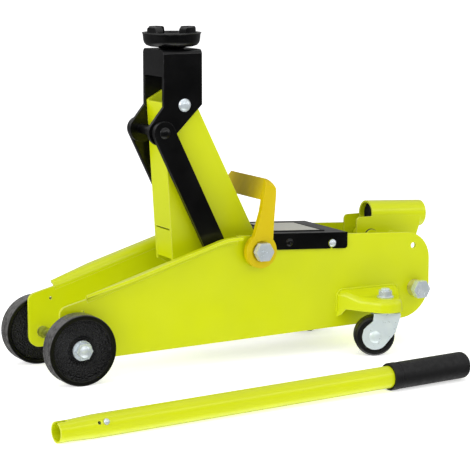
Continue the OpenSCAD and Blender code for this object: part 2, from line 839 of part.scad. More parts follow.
// Pressed fork: level top plate and two teardrop cheeks.
module caster_fork() {
    gap = caster_w / 2 + 0.9;
    skin = 1.7;
    end_r = 12.9;
    rise = fork_top - caster_axle_z;
    color(zinc) caster_frame() difference() {
        union() {
            translate([-trail - 1.2, -gap - skin, fork_top - 2]) cube([26.3, 2 * (gap + skin), 2]);
            for (side = [0, 1]) mirror([0, side, 0]) near() slab(gap, gap + skin)
                translate([-trail, caster_axle_z]) {
                    polygon([
                        [-1.2, rise], [-2.6, 15.5], [-8.1, 10.9], [-11.6, 7.2], [-12.7, 0],
                        turn(-39.3, end_r), [20.2, 4.4], [25.1, rise - 2.5], [25.1, rise]
                    ]);
                    circle(end_r);
                }
        }
        translate([0, 0, 30]) cylinder(h = 20, r = stud_r + fit);
        near() bar([-trail, caster_axle_z], caster_axle_r, -20, 20);
    }
}
module caster_fork_near() { caster_fork(); }
module caster_fork_far() { mirror([0, 1, 0]) caster_fork(); }

module caster_wheel() {
    h = caster_w / 2;
    r = caster_d / 2;
    color(black) caster_frame() translate([-trail, 0, caster_axle_z]) rotate([90, 0, 0]) rotate_extrude() polygon([
        [caster_axle_r + fit, -h - 0.5], [7, -h - 0.5], [7.5, -h + 1], [r - 4, -h + 1], [r - 3.5, -h],
        [r - 2, -h], [r, -h + 2.5], [r, h - 2.5], [r - 2, h], [r - 3.5, h], [r - 4, h - 1], [7.5, h - 1],
        [7, h + 0.5], [caster_axle_r + fit, h + 0.5]
    ]);
}
module caster_wheel_near() { caster_wheel(); }
module caster_wheel_far() { mirror([0, 1, 0]) caster_wheel(); }

module caster_axle() {
    out = caster_w / 2 + 2.6;
    color(zinc) caster_frame() near() {
        bar([-trail, caster_axle_z], caster_axle_r, -out - 0.2, out + 0.2);
        for (side = [0, 1]) mirror([0, 0, side]) translate([-trail, caster_axle_z, out]) dome(6.2, 1.7);
    }
}
module caster_axle_near() { caster_axle(); }
module caster_axle_far() { mirror([0, 1, 0]) caster_axle(); }

// ---- lever ----------------------------------------------------------------------

// Lever parts are drawn along +X from the tip and then laid on the floor, where the
// mouth's rim and the front of the grip touch down.
module lay_lever() {
    rise = asin((grip_d / 2 - lever_mouth_r) / (lever_len - grip_len));
    translate([lever_tip[0], lever_tip[1], lever_mouth_r])
        rotate([0, 0, lever_turn]) rotate([0, -rise, 0]) children();
}
module along(a, b, r) { translate([a, 0, 0]) rotate([0, 90, 0]) cylinder(h = b - a, r = r); }

module lever_tube() {
    wall = 1.4;
    neck = 12;
    flare = 34;
    r = lever_d / 2;
    color(lime) lay_lever() difference() {
        rotate([0, 90, 0]) rotate_extrude() polygon([
            [lever_mouth_r - wall, 0], [lever_mouth_r, 0], [lever_mouth_r, neck], [r, flare],
            [r, lever_len - 3], [r - wall, lever_len - 3], [r - wall, flare + 1], [lever_mouth_r - wall, neck + 1]
        ]);
        translate([-1, -3, 2]) cube([11, 6, 20]);
        translate([button_s, 0, 0]) rotate([button_tilt, 0, 0]) cylinder(h = 20, r = button_r + 0.2);
        translate([button_s - 6.5, 0, 0]) rotate([button_tilt, 0, 0]) cylinder(h = 20, r = 1.6);
    }
}

module lever_grip() {
    start = lever_len - grip_len;
    r = lever_d / 2;
    g = grip_d / 2;
    color([0.16, 0.16, 0.17]) lay_lever() rotate([0, 90, 0]) rotate_extrude() polygon(concat(
        [[r, start], [g - 0.4, start], [g, start + 1], [g, start + 8]],
        [[g - 0.9, start + 8.6], [g - 0.9, start + 9.8], [g - 0.3, start + 10.5]],
        arc([g - 5.3, lever_len - 5], 5, 0, 90, 5),
        [[0, lever_len], [0, lever_len - 3], [r, lever_len - 3]]
    ));
}

module lever_button() {
    color(zinc) lay_lever() translate([button_s, 0, 0]) rotate([button_tilt, 0, 0]) {
        translate([0, 0, 5]) cylinder(h = lever_d / 2 - 4, r = button_r);
        translate([0, 0, 3.6]) cylinder(h = 1.4, r = button_r + 1.4);
        translate([0, 0, lever_d / 2 + 1]) dome(button_r, 1.2);
    }
}

side_plate_near();
side_plate_far();
front_axle();
front_axle_nuts();
axle_spacers();
arm_shaft();
arm_shaft_bolts();
link_studs();
link_clips();
cover_plate();
cover_screws();
pump_block();
reservoir_tube();
ram_cylinder();
ram_gland();
filler_plug();
relief_screw();
rear_bolts();
rear_bolt_collars();
caster_bracket_near();
caster_bracket_far();
caster_studs();
caster_nuts();
spring_anchors();
socket_pivot_pin();
lift_arm();
arm_lower_web();
crank_pin();
saddle_bracket();
bracket_bolt();
bracket_nut();
link_top_pin();
saddle();
saddle_clip();
link_near();
link_far();
ram_rod();
ram_seal();
ram_yoke();
spring_pin();
return_spring_near();
return_spring_far();
handle_socket();
pusher_pin();
pump_plunger();
plunger_spring();
release_valve();
carry_handle();
front_wheel_near();
front_wheel_far();
caster_fork_near();
caster_fork_far();
caster_wheel_near();
caster_wheel_far();
caster_axle_near();
caster_axle_far();
lever_tube();
lever_grip();
lever_button();
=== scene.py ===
"""Looks of the trolley jack: procedural materials, softened edges and small pieces round the CAD frame."""

import json
import math

import bmesh
import bpy
from mathutils import Matrix, Vector


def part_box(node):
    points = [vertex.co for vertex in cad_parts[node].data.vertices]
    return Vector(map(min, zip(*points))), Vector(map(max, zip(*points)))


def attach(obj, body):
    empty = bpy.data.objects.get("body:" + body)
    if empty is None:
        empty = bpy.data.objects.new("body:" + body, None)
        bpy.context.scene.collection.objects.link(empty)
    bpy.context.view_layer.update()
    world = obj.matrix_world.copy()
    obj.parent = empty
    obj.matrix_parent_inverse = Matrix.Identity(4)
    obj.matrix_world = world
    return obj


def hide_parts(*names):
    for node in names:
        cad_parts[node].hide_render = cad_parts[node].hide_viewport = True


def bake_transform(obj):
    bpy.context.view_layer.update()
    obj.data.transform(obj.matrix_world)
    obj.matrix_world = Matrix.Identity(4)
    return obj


MM = 0.001
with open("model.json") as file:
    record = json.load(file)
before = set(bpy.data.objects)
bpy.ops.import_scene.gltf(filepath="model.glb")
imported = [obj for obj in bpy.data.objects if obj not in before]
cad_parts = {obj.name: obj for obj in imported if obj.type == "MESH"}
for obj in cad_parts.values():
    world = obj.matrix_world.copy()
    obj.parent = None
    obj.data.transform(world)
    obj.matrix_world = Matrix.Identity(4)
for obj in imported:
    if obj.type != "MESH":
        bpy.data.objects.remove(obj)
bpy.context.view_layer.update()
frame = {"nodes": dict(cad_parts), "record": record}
NODES = frame["nodes"]
SLOT_OF = {part["node"]: part["material_slot"] for part in frame["record"]["subparts"]}
SIDES = ((-1, "near"), (1, "far"))

# Places on the frame, in millimetres and degrees.
ARM_PIVOT_Z = 111.0
PLATE_FACE = 41.0
COVER_FACE = 43.3
COVER_TOP = 127.0
COVER_SLOPE = math.radians(3.0)
COVER_FRONT_SCREW = (35.6, 116.0)
SOCKET_PIVOT = (147.0, 110.0)
SOCKET_CHEEK_FACE = 13.4
SOCKET_MOUTH = (150.0, 131.6)
SOCKET_BORE = 11.47
SOCKET_SLOPE = math.radians(3.0)
CARRY_FRONT = -7.38
CARRY_LEAN = {"near": 10.5, "far": 21.5}
LEVER_MOUTH = (-292.8, -239.0, 9.2)
LEVER_TURN = math.radians(5.5)
LEVER_RISE = math.radians(0.6)
LEVER_RADIUS = 10.3


# ---- camera, lights, floor --------------------------------------------------

CAMERA_AZIMUTH = math.radians(-27.47)
CAMERA_ELEVATION = math.radians(8.89)
CAMERA_DISTANCE = 1.9374
CAMERA_TARGET = Vector((-0.00222, 0.0, 0.12005))
CAMERA_LENS = 149.68
SENSOR = 36.0


def add_camera():
    back = Vector((
        math.sin(CAMERA_AZIMUTH) * math.cos(CAMERA_ELEVATION),
        -math.cos(CAMERA_AZIMUTH) * math.cos(CAMERA_ELEVATION),
        math.sin(CAMERA_ELEVATION),
    ))
    data = bpy.data.cameras.new("camera")
    data.lens = CAMERA_LENS
    data.sensor_width = SENSOR
    data.clip_start = 0.05
    data.clip_end = 200.0
    camera = bpy.data.objects.new("camera", data)
    camera.location = CAMERA_TARGET + back * CAMERA_DISTANCE
    camera.rotation_euler = (-back).to_track_quat("-Z", "Y").to_euler()
    bpy.context.scene.collection.objects.link(camera)
    bpy.context.scene.camera = camera


def add_softbox(name, place, aim, width, height, power, tint=(1.0, 1.0, 1.0)):
    data = bpy.data.lights.new(name, "AREA")
    data.shape = "RECTANGLE"
    data.size = width
    data.size_y = height
    data.energy = power
    data.color = tint
    lamp = bpy.data.objects.new(name, data)
    lamp.location = place
    lamp.rotation_euler = (Vector(aim) - Vector(place)).to_track_quat("-Z", "Y").to_euler()
    bpy.context.scene.collection.objects.link(lamp)


def add_sun(name, direction, strength, spread):
    data = bpy.data.lights.new(name, "SUN")
    data.energy = strength
    data.angle = math.radians(spread)
    lamp = bpy.data.objects.new(name, data)
    lamp.rotation_euler = (-Vector(direction)).to_track_quat("-Z", "Y").to_euler()
    bpy.context.scene.collection.objects.link(lamp)


def add_lights():
    add_softbox("softbox_strip", (0.6, -1.7, 1.15), (0.0, -0.1, 0.05), 2.4, 0.16, 4.5)
    add_softbox("softbox_top", (0.0, -0.25, 1.8), (0.0, 0.0, 0.1), 1.5, 0.3, 2.5)
    add_softbox("softbox_left", (-1.9, -0.5, 0.9), (0.0, 0.0, 0.12), 1.1, 1.3, 14.0)
    add_softbox("softbox_right", (1.9, -0.9, 0.9), (0.0, 0.0, 0.12), 0.9, 1.2, 4.0)
    add_sun("sky_wash", (-0.4, -0.7, 0.9), 0.46, 80.0)


def add_world():
    """Dim room with a bright ceiling and a bright sweep below. The camera itself sees plain white."""
    world = bpy.data.worlds.new("studio")
    world.use_nodes = True
    tree = world.node_tree
    tree.nodes["Background"].inputs["Color"].default_value = (1.0, 1.0, 1.0, 1.0)
    place = tree.nodes.new("ShaderNodeTexCoord")
    split = tree.nodes.new("ShaderNodeSeparateXYZ")
    tree.links.new(place.outputs["Generated"], split.inputs[0])

    def ramp(axis, low, high, start, end):
        node = tree.nodes.new("ShaderNodeMapRange")
        node.interpolation_type = "SMOOTHSTEP"
        tree.links.new(split.outputs[axis], node.inputs["Value"])
        node.inputs["From Min"].default_value = low
        node.inputs["From Max"].default_value = high
        node.inputs["To Min"].default_value = start
        node.inputs["To Max"].default_value = end
        return node

    room = ramp("Y", -0.7, 0.3, 0.03, 0.16)
    dome = ramp("Z", 0.02, 0.45, 0.0, 0.62)
    tree.links.new(room.outputs["Result"], dome.inputs["To Min"])
    sweep_light = ramp("Z", -0.95, -0.6, 1.8, 0.0)
    total = tree.nodes.new("ShaderNodeMath")
    tree.links.new(dome.outputs["Result"], total.inputs[0])
    tree.links.new(sweep_light.outputs["Result"], total.inputs[1])
    path = tree.nodes.new("ShaderNodeLightPath")
    backdrop = tree.nodes.new("ShaderNodeMath")
    backdrop.operation = "MAXIMUM"
    tree.links.new(total.outputs[0], backdrop.inputs[0])
    tree.links.new(path.outputs["Is Camera Ray"], backdrop.inputs[1])
    tree.links.new(backdrop.outputs[0], tree.nodes["Background"].inputs["Strength"])
    bpy.context.scene.world = world


FLOOR_GLOW = 0.55


def add_floor():
    """Pale floor out to the horizon. It lights the object from below but leaves no reflection."""
    mesh = bpy.data.meshes.new("floor")
    form = bmesh.new()
    bmesh.ops.create_circle(form, cap_ends=True, segments=96, radius=60.0)
    form.to_mesh(mesh)
    form.free()
    floor = bpy.data.objects.new("floor", mesh)
    bpy.context.scene.collection.objects.link(floor)
    skin = Skin("floor_paper", (0.93, 0.93, 0.93), rough=0.9, specular=0.05)
    skin.shader.inputs["Emission Color"].default_value = (1.0, 1.0, 1.0, 1.0)
    skin.shader.inputs["Emission Strength"].default_value = FLOOR_GLOW
    skin.colour(skin.mix(skin.noise(3.0), (0.925, 0.925, 0.925), (0.94, 0.94, 0.94)))
    mesh.materials.append(skin.material)
    floor.visible_glossy = False


# ---- shading helpers ----------------------------------------------------------

def linear(red, green, blue):
    """Linear colour from 0 to 255 display values."""
    def one(value):
        value /= 255.0
        return value / 12.92 if value <= 0.04045 else ((value + 0.055) / 1.055) ** 2.4
    return (one(red), one(green), one(blue))


class Skin:
    """One procedural material, with short names for the nodes that it is built from."""

    def __init__(self, name, base, rough=0.5, metal=0.0, specular=0.5, coat=0.0, coat_rough=0.1):
        self.material = bpy.data.materials.new(name)
        self.material.use_nodes = True
        self.tree = self.material.node_tree
        self.shader = self.tree.nodes["Principled BSDF"]
        self.shader.inputs["Base Color"].default_value = (*base, 1.0)
        self.shader.inputs["Roughness"].default_value = rough
        self.shader.inputs["Metallic"].default_value = metal
        self.shader.inputs["Specular IOR Level"].default_value = specular
        self.shader.inputs["Coat Weight"].default_value = coat
        self.shader.inputs["Coat Roughness"].default_value = coat_rough
        self.material.diffuse_color = (*base, 1.0)
        self.place = self.add("ShaderNodeTexCoord").outputs["Object"]
        self.relief = None

    def add(self, kind, **settings):
        node = self.tree.nodes.new(kind)
        for key, value in settings.items():
            setattr(node, key, value)
        return node

    def feed(self, socket, value):
        """Links an output to a socket, or sets the socket if the value is a number or a colour."""
        if isinstance(value, bpy.types.NodeSocket):
            self.tree.links.new(value, socket)
        elif isinstance(value, tuple) and len(value) == 3 and len(socket.default_value) == 4:
            socket.default_value = (*value, 1.0)
        else:
            socket.default_value = value

    def stretched(self, x, y, z):
        """Object coordinates scaled along each axis, for streaks and brushing."""
        node = self.add("ShaderNodeMapping")
        node.inputs["Scale"].default_value = (x, y, z)
        self.feed(node.inputs["Vector"], self.place)
        return node.outputs["Vector"]

    def noise(self, scale, detail=3.0, rough=0.55, twist=0.0, at=None):
        node = self.add("ShaderNodeTexNoise")
        self.feed(node.inputs["Vector"], at or self.place)
        node.inputs["Scale"].default_value = scale
        node.inputs["Detail"].default_value = detail
        node.inputs["Roughness"].default_value = rough
        node.inputs["Distortion"].default_value = twist
        return node.outputs["Fac"]

    def cells(self, scale, output="Distance", at=None):
        node = self.add("ShaderNodeTexVoronoi")
        self.feed(node.inputs["Vector"], at or self.place)
        node.inputs["Scale"].default_value = scale
        return node.outputs[output]

    def map(self, value, low, high, start=0.0, end=1.0):
        """Smooth ramp from start to end while value goes from low to high."""
        node = self.add("ShaderNodeMapRange", interpolation_type="SMOOTHSTEP")
        self.feed(node.inputs["Value"], value)
        node.inputs["From Min"].default_value = low
        node.inputs["From Max"].default_value = high
        node.inputs["To Min"].default_value = start
        node.inputs["To Max"].default_value = end
        return node.outputs["Result"]

    def math(self, operation, first, second=0.0):
        node = self.add("ShaderNodeMath", operation=operation)
        self.feed(node.inputs[0], first)
        self.feed(node.inputs[1], second)
        return node.outputs[0]

    def mix(self, share, first, second):
        node = self.add("ShaderNodeMix", data_type="RGBA")
        self.feed(node.inputs["Factor"], share)
        self.feed(node.inputs[6], first)
        self.feed(node.inputs[7], second)
        return node.outputs[2]

    def along(self, axis):
        """Object coordinate along one axis."""
        node = self.add("ShaderNodeSeparateXYZ")
        self.feed(node.inputs[0], self.place)
        return node.outputs[axis]

    def radius_from(self, x, z):
        """Distance from a line along Y through (x, z)."""
        node = self.add("ShaderNodeVectorMath", operation="MULTIPLY_ADD")
        self.feed(node.inputs[0], self.place)
        node.inputs[1].default_value = (1.0, 0.0, 1.0)
        node.inputs[2].default_value = (-x, 0.0, -z)
        length = self.add("ShaderNodeVectorMath", operation="LENGTH")
        self.feed(length.inputs[0], node.outputs[0])
        return length.outputs["Value"]

    def edges(self, width, low=0.02, high=0.22):
        """Mask of outer edges, used for wear and for painted edge highlights: where the surface turns within
        the given width.
        """
        rounded = self.add("ShaderNodeBevel", samples=6)
        rounded.inputs["Radius"].default_value = width
        here = self.add("ShaderNodeNewGeometry")
        dot = self.add("ShaderNodeVectorMath", operation="DOT_PRODUCT")
        self.feed(dot.inputs[0], rounded.outputs["Normal"])
        self.feed(dot.inputs[1], here.outputs["Normal"])
        return self.map(self.math("SUBTRACT", 1.0, dot.outputs["Value"]), low, high)

    def bump(self, height, depth, strength=1.0):
        node = self.add("ShaderNodeBump")
        node.inputs["Strength"].default_value = strength
        node.inputs["Distance"].default_value = depth
        self.feed(node.inputs["Height"], height)
        if self.relief:
            self.feed(node.inputs["Normal"], self.relief)
        self.relief = node.outputs["Normal"]
        self.feed(self.shader.inputs["Normal"], self.relief)

    def colour(self, value):
        self.feed(self.shader.inputs["Base Color"], value)

    def roughness(self, value):
        self.feed(self.shader.inputs["Roughness"], value)


# ---- materials --------------------------------------------------------------------

def lime_paint():
    """Sprayed enamel on pressed sheet: soft waviness, orange peel, specks of dust, and pale edges that are
    partly thin paint and partly a painted highlight.
    """
    base = linear(209, 219, 3)
    skin = Skin("lime_paint", base, rough=0.4, specular=0.25, coat=0.4, coat_rough=0.2)
    cloudy = skin.mix(skin.noise(16.0, 2.0), linear(202, 213, 0), linear(215, 224, 6))
    speck = skin.map(skin.cells(95.0), 0.035, 0.05, 1.0, 0.0)
    sparse = skin.map(skin.noise(70.0, 1.0), 0.66, 0.69)
    marked = skin.mix(skin.math("MULTIPLY", speck, sparse), cloudy, linear(120, 118, 22))
    # Pale edges: partly thin paint, partly a painted highlight along the edges.
    thin_paint_and_edge_highlight = skin.math("MULTIPLY", skin.edges(0.9 * MM), skin.map(skin.noise(60.0), 0.25, 0.6, 0.4, 0.85))
    skin.colour(skin.mix(thin_paint_and_edge_highlight, marked, linear(240, 240, 130)))
    skin.roughness(skin.map(skin.noise(45.0), 0.3, 0.7, 0.28, 0.4))
    skin.bump(skin.noise(22.0, 1.0), 0.5 * MM, 0.25)
    skin.bump(skin.noise(650.0, 2.0), 0.02 * MM, 0.4)
    return skin.material


def black_paint():
    """Satin powder coat with a fine pebble, grey on the edges: partly worn paint, partly a painted highlight.
    """
    skin = Skin("black_paint", linear(9, 9, 10), rough=0.34, specular=0.4, coat=0.4, coat_rough=0.14)
    skin.shader.inputs["IOR"].default_value = 1.3
    # Grey edges: partly worn paint, partly a painted highlight along the edges.
    worn_and_highlit_edges = skin.math("MULTIPLY", skin.edges(0.8 * MM), skin.map(skin.noise(90.0), 0.35, 0.7, 0.1, 0.75))
    dusty = skin.mix(skin.map(skin.noise(30.0), 0.45, 0.8), linear(6, 6, 7), linear(13, 13, 14))
    skin.colour(skin.mix(worn_and_highlit_edges, dusty, linear(92, 92, 94)))
    skin.roughness(skin.map(skin.noise(55.0), 0.3, 0.7, 0.3, 0.46))
    skin.bump(skin.noise(24.0, 1.0), 0.35 * MM, 0.3)
    skin.bump(skin.noise(900.0, 2.0), 0.03 * MM, 0.6)
    return skin.material


def cast_black():
    """Painted casting: pebbled web, smoother rim, and a lighter grey tread that is partly rubbed bare and
    partly a painted sheen.
    """
    low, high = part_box("front_wheel_near")
    centre = (low + high) / 2
    rim = (high.z - low.z) / 2
    skin = Skin("cast_black", linear(9, 9, 10), rough=0.32, specular=0.4)
    far_out = skin.radius_from(centre.x, centre.z)
    web = skin.map(far_out, rim - 5.4 * MM, rim - 4.6 * MM, 1.0, 0.08)
    tread = skin.map(far_out, rim - 0.7 * MM, rim - 0.15 * MM)
    rubbed_and_sheen = skin.map(skin.noise(170.0, 4.0), 0.3, 0.75, 0.35, 1.0)
    plain = skin.mix(skin.noise(120.0), linear(6, 6, 7), linear(15, 15, 16))
    # Lighter grey tread: partly rubbed bare, partly a painted sheen.
    skin.colour(skin.mix(skin.math("MULTIPLY", tread, rubbed_and_sheen), plain, linear(98, 97, 96)))
    skin.roughness(skin.map(skin.math("ADD", skin.noise(80.0), tread), 0.3, 1.5, 0.3, 0.24))
    grains = skin.math("MULTIPLY", skin.math("ADD", skin.noise(760.0, 3.0, 0.6), skin.cells(560.0)), web)
    skin.bump(grains, 1.6 * MM, 1.0)
    skin.bump(skin.noise(1400.0, 2.0), 0.04 * MM, 0.6)
    return skin.material


def plated(name, dark, light, rough, tint=None, metal=1.0):
    """Zinc plate: patchy sheen, faint spangle and hair scratches."""
    skin = Skin(name, light, rough=rough, metal=metal, specular=0.5)
    patch = skin.mix(skin.map(skin.noise(130.0, 4.0), 0.3, 0.7), dark, light)
    if tint:
        patch = skin.mix(skin.map(skin.noise(85.0, 2.0, twist=1.0), 0.3, 0.7, 0.0, 0.5), patch, tint)
    skin.colour(patch)
    hair = skin.noise(260.0, 3.0, at=skin.stretched(1.0, 0.12, 6.0))
    skin.roughness(skin.map(skin.noise(220.0), 0.3, 0.7, rough - 0.03, rough + 0.06))
    skin.bump(hair, 0.006 * MM, 0.3)
    skin.bump(skin.noise(480.0), 0.006 * MM, 0.3)
    return skin.material


def zinc():
    return plated("zinc", linear(220, 232, 234), linear(230, 241, 243), 0.3, linear(222, 234, 241), 0.3)


def zinc_bolt():
    """Brighter plate of bolt heads and nuts, with more contrast between their flats."""
    return plated("zinc_bolt", linear(206, 216, 220), linear(230, 238, 241), 0.22, linear(206, 216, 230), 0.4)


def yellow_zinc():
    return plated("yellow_zinc", linear(176, 164, 96), linear(222, 210, 140), 0.3, linear(196, 214, 150), 0.5)


def bare_steel():
    return plated("bare_steel", linear(120, 122, 126), linear(180, 182, 186), 0.3)


def spring_steel():
    return plated("spring_steel", linear(58, 58, 62), linear(116, 116, 120), 0.36)


def pump_iron():
    skin = Skin("pump_iron", linear(74, 77, 80), rough=0.5, specular=0.5)
    skin.colour(skin.mix(skin.noise(60.0, 4.0), linear(60, 63, 66), linear(86, 89, 92)))
    skin.roughness(skin.map(skin.noise(90.0), 0.3, 0.7, 0.42, 0.6))
    skin.bump(skin.noise(380.0, 4.0, 0.65), 0.35 * MM, 0.6)
    return skin.material


def yellow_plastic():
    """Moulded polypropylene: even colour, soft gloss, flow marks, a little scuffing, and painted shade across
    the middle of the crossbar.
    """
    base = linear(210, 185, 0)
    skin = Skin("yellow_plastic", base, rough=0.42, specular=0.2)
    skin.shader.inputs["Subsurface Weight"].default_value = 0.05
    skin.shader.inputs["Subsurface Radius"].default_value = (0.9, 0.45, 0.1)
    skin.shader.inputs["Subsurface Scale"].default_value = 1.5 * MM
    flow = skin.noise(30.0, 3.0, twist=1.5, at=skin.stretched(1.0, 1.0, 0.4))
    even = skin.mix(flow, linear(205, 180, 0), linear(214, 190, 2))
    # Painted shade: the middle of the crossbar is darkened as if in the shadow of the arm and links.
    crossbar_shade_mask = skin.map(skin.math("ABSOLUTE", skin.along("Y")), 24.0 * MM, 50.0 * MM, 1.0, 0.0)
    painted_crossbar_shade = skin.math("MULTIPLY", crossbar_shade_mask, skin.map(skin.noise(40.0, 2.0), 0.3, 0.7, 0.5, 0.75))
    even = skin.mix(painted_crossbar_shade, even, linear(160, 137, 4))
    scuff = skin.math("MULTIPLY", skin.edges(1.2 * MM), skin.map(skin.noise(140.0), 0.4, 0.7, 0.0, 0.4))
    skin.colour(skin.mix(scuff, even, linear(244, 222, 80)))
    skin.roughness(skin.map(skin.noise(70.0), 0.3, 0.7, 0.32, 0.48))
    skin.bump(skin.noise(1100.0, 2.0), 0.03 * MM, 0.5)
    skin.bump(skin.noise(28.0, 1.0), 0.3 * MM, 0.25)
    return skin.material


def dull_black(name, colour, rough, grain, depth):
    skin = Skin(name, colour, rough=rough, specular=0.4)
    lighter = tuple(min(1.0, 1.7 * part) for part in colour)
    skin.colour(skin.mix(skin.map(skin.noise(95.0, 4.0), 0.3, 0.75), colour, lighter))
    skin.roughness(skin.map(skin.noise(150.0), 0.3, 0.7, rough - 0.07, rough + 0.1))
    skin.bump(skin.noise(grain, 3.0), depth, 0.8)
    return skin.material


def black_plastic():
    return dull_black("black_plastic", linear(20, 20, 20), 0.4, 700.0, 0.04 * MM)


def seal_rubber():
    return dull_black("seal_rubber", linear(30, 30, 31), 0.6, 500.0, 0.06 * MM)


def grip_rubber():
    """Rubber sleeve with a leathery grain of small cells."""
    skin = Skin("grip_rubber", linear(18, 18, 19), rough=0.5, specular=0.35)
    skin.colour(skin.mix(skin.noise(140.0, 4.0), linear(14, 14, 15), linear(24, 24, 25)))
    skin.roughness(skin.map(skin.noise(200.0), 0.3, 0.7, 0.52, 0.7))
    skin.bump(skin.cells(750.0), 0.12 * MM, 0.6)
    skin.bump(skin.noise(1600.0, 2.0), 0.04 * MM, 0.6)
    return skin.material


def label_foil():
    """Blank pale foil of a data plate, with a faint brushed grain."""
    skin = Skin("label_foil", linear(196, 196, 186), rough=0.42, specular=0.5)
    grain = skin.noise(900.0, 2.0, at=skin.stretched(0.05, 1.0, 1.0))
    skin.colour(skin.mix(grain, linear(186, 187, 178), linear(208, 208, 198)))
    skin.roughness(skin.map(skin.noise(60.0), 0.3, 0.7, 0.36, 0.5))
    skin.bump(grain, 0.01 * MM, 0.5)
    return skin.material


MAKERS = {
    "lime_paint": lime_paint, "black_paint": black_paint, "cast_black": cast_black, "zinc": zinc,
    "yellow_zinc": yellow_zinc, "bare_steel": bare_steel, "pump_iron": pump_iron,
    "spring_steel": spring_steel, "yellow_plastic": yellow_plastic, "black_plastic": black_plastic,
    "seal_rubber": seal_rubber, "grip_rubber": grip_rubber,
}
SKINS = {name: make() for name, make in MAKERS.items()}
BOLT_SKIN = zinc_bolt()
BOLTS = (
    "front_axle_nuts", "arm_shaft_bolts", "cover_screws", "rear_bolts", "caster_nuts", "bracket_bolt",
    "bracket_nut", "relief_screw", "lever_button",
)
STEELS = ("front_axle",)


# ---- CAD nodes: finish and softened edges -----------------------------------------------

EDGE_WIDTH = {
    "side_plate_near": 0.0, "side_plate_far": 0.0, "lift_arm": 0.5, "arm_lower_web": 0.5,
    "saddle_bracket": 0.8, "link_near": 0.8, "link_far": 0.8, "cover_plate": 0.5,
    "carry_handle": 2.0, "saddle": 0.7, "front_wheel_near": 0.4, "front_wheel_far": 0.4,
    "caster_bracket_near": 1.2, "caster_bracket_far": 1.2, "pump_block": 1.2, "ram_yoke": 0.8,
    "handle_socket": 0.5, "lever_tube": 0.25,
}
PLAIN_EDGE = 0.25
EDGE_STEPS = 2
EDGE_ANGLE = math.radians(38.0)
FLAT_ANGLE = math.radians(0.3)


def soften(name, width):
    """Rounds a CAD node's sharp edges with modifiers. The mesh itself stays as it came."""
    node = NODES[name]
    merge = node.modifiers.new("weld", "WELD")
    merge.merge_threshold = 0.002 * MM
    if width > 0.0:
        flat = node.modifiers.new("flat", "DECIMATE")
        flat.decimate_type = "DISSOLVE"
        flat.angle_limit = FLAT_ANGLE
        bevel = node.modifiers.new("bevel", "BEVEL")
        bevel.width = width * MM
        bevel.segments = EDGE_STEPS
        bevel.limit_method = "ANGLE"
        bevel.angle_limit = EDGE_ANGLE
        bevel.use_clamp_overlap = True
        bevel.miter_outer = "MITER_ARC"
        level = node.modifiers.new("level", "WEIGHTED_NORMAL")
        level.keep_sharp = False


def skin_of(name):
    if name in BOLTS:
        return BOLT_SKIN
    return SKINS["bare_steel"] if name in STEELS else SKINS[SLOT_OF[name]]


def dress_frame():
    for name, node in NODES.items():
        node.data.materials.clear()
        node.data.materials.append(skin_of(name))
        soften(name, EDGE_WIDTH.get(name, PLAIN_EDGE))


# ---- pieces -----------------------------------------------------------------------------

def piece(name, mesh, slot, body, skin=None):
    thing = bpy.data.objects.new(name, mesh)
    bpy.context.scene.collection.objects.link(thing)
    mesh.materials.append(skin or SKINS[slot])
    if body:
        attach(thing, body)
    return thing


def smooth(mesh):
    mesh.shade_smooth()
    return mesh


def sweep(name, points, radii, sides=10, closed=False):
    """Round tube along points, with its own radius at each, and flat closed ends."""
    form = bmesh.new()
    count = len(points)
    heading = []
    for i in range(count):
        before = points[i - 1] if (i or closed) else points[0]
        after = points[(i + 1) % count] if (i < count - 1 or closed) else points[-1]
        heading.append((after - before).normalized())
    side = heading[0].orthogonal().normalized()
    rings = []
    for i in range(count):
        if i:
            side = (heading[i - 1].rotation_difference(heading[i]) @ side).normalized()
        other = heading[i].cross(side).normalized()
        ring = []
        for k in range(sides):
            a = 2 * math.pi * k / sides
            ring.append(form.verts.new(points[i] + radii[i] * (math.cos(a) * side + math.sin(a) * other)))
        rings.append(ring)
    for i in range(count if closed else count - 1):
        a, b = rings[i], rings[(i + 1) % count]
        for k in range(sides):
            form.faces.new((a[k], a[(k + 1) % sides], b[(k + 1) % sides], b[k]))
    if not closed:
        form.faces.new(list(reversed(rings[0])))
        form.faces.new(rings[-1])
    bmesh.ops.recalc_face_normals(form, faces=form.faces)
    mesh = bpy.data.meshes.new(name)
    form.to_mesh(mesh)
    form.free()
    return smooth(mesh)


def coil_points(start, end, radius, turns, per_turn=16):
    """Helix from start to end about the line between them."""
    along = end - start
    side = along.orthogonal().normalized()
    other = along.normalized().cross(side)
    steps = int(turns * per_turn)
    points = []
    for i in range(steps + 1):
        a = 2 * math.pi * turns * i / steps
        points.append(start + along * (i / steps) + radius * (math.cos(a) * side + math.sin(a) * other))
    return points


def add_return_springs():
    """Close-wound tension springs from the ram's cross pin to the pump block's eyes."""
    wire = 0.7 * MM
    for side in ("near", "far"):
        node = "return_spring_" + side
        low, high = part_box(node)
        middle = (low + high) / 2
        start = Vector((low.x + 0.6 * MM, middle.y, middle.z))
        end = Vector((high.x - 0.6 * MM, middle.y, middle.z))
        coil = (high.z - low.z) / 2 - wire
        turns = int((high.x - low.x) / (3.1 * wire))
        points = coil_points(start, end, coil, turns, 12)
        mesh = sweep("coil_" + side, points, [wire] * len(points), 6)
        spring = piece("coil_" + side, mesh, "spring_steel", None)
        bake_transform(spring)
        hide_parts(node)


def add_plunger_spring():
    wire = 0.8 * MM
    low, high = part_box("plunger_spring")
    middle = (low + high) / 2
    start = Vector((middle.x, middle.y, low.z + wire))
    end = Vector((middle.x, middle.y, high.z - wire))
    coil = (high.x - low.x) / 2 - wire
    points = coil_points(start, end, coil, 4.0, 20)
    mesh = sweep("plunger_coil", points, [wire] * len(points), 8)
    spring = piece("plunger_coil", mesh, "spring_steel", None)
    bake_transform(spring)
    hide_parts("plunger_spring")


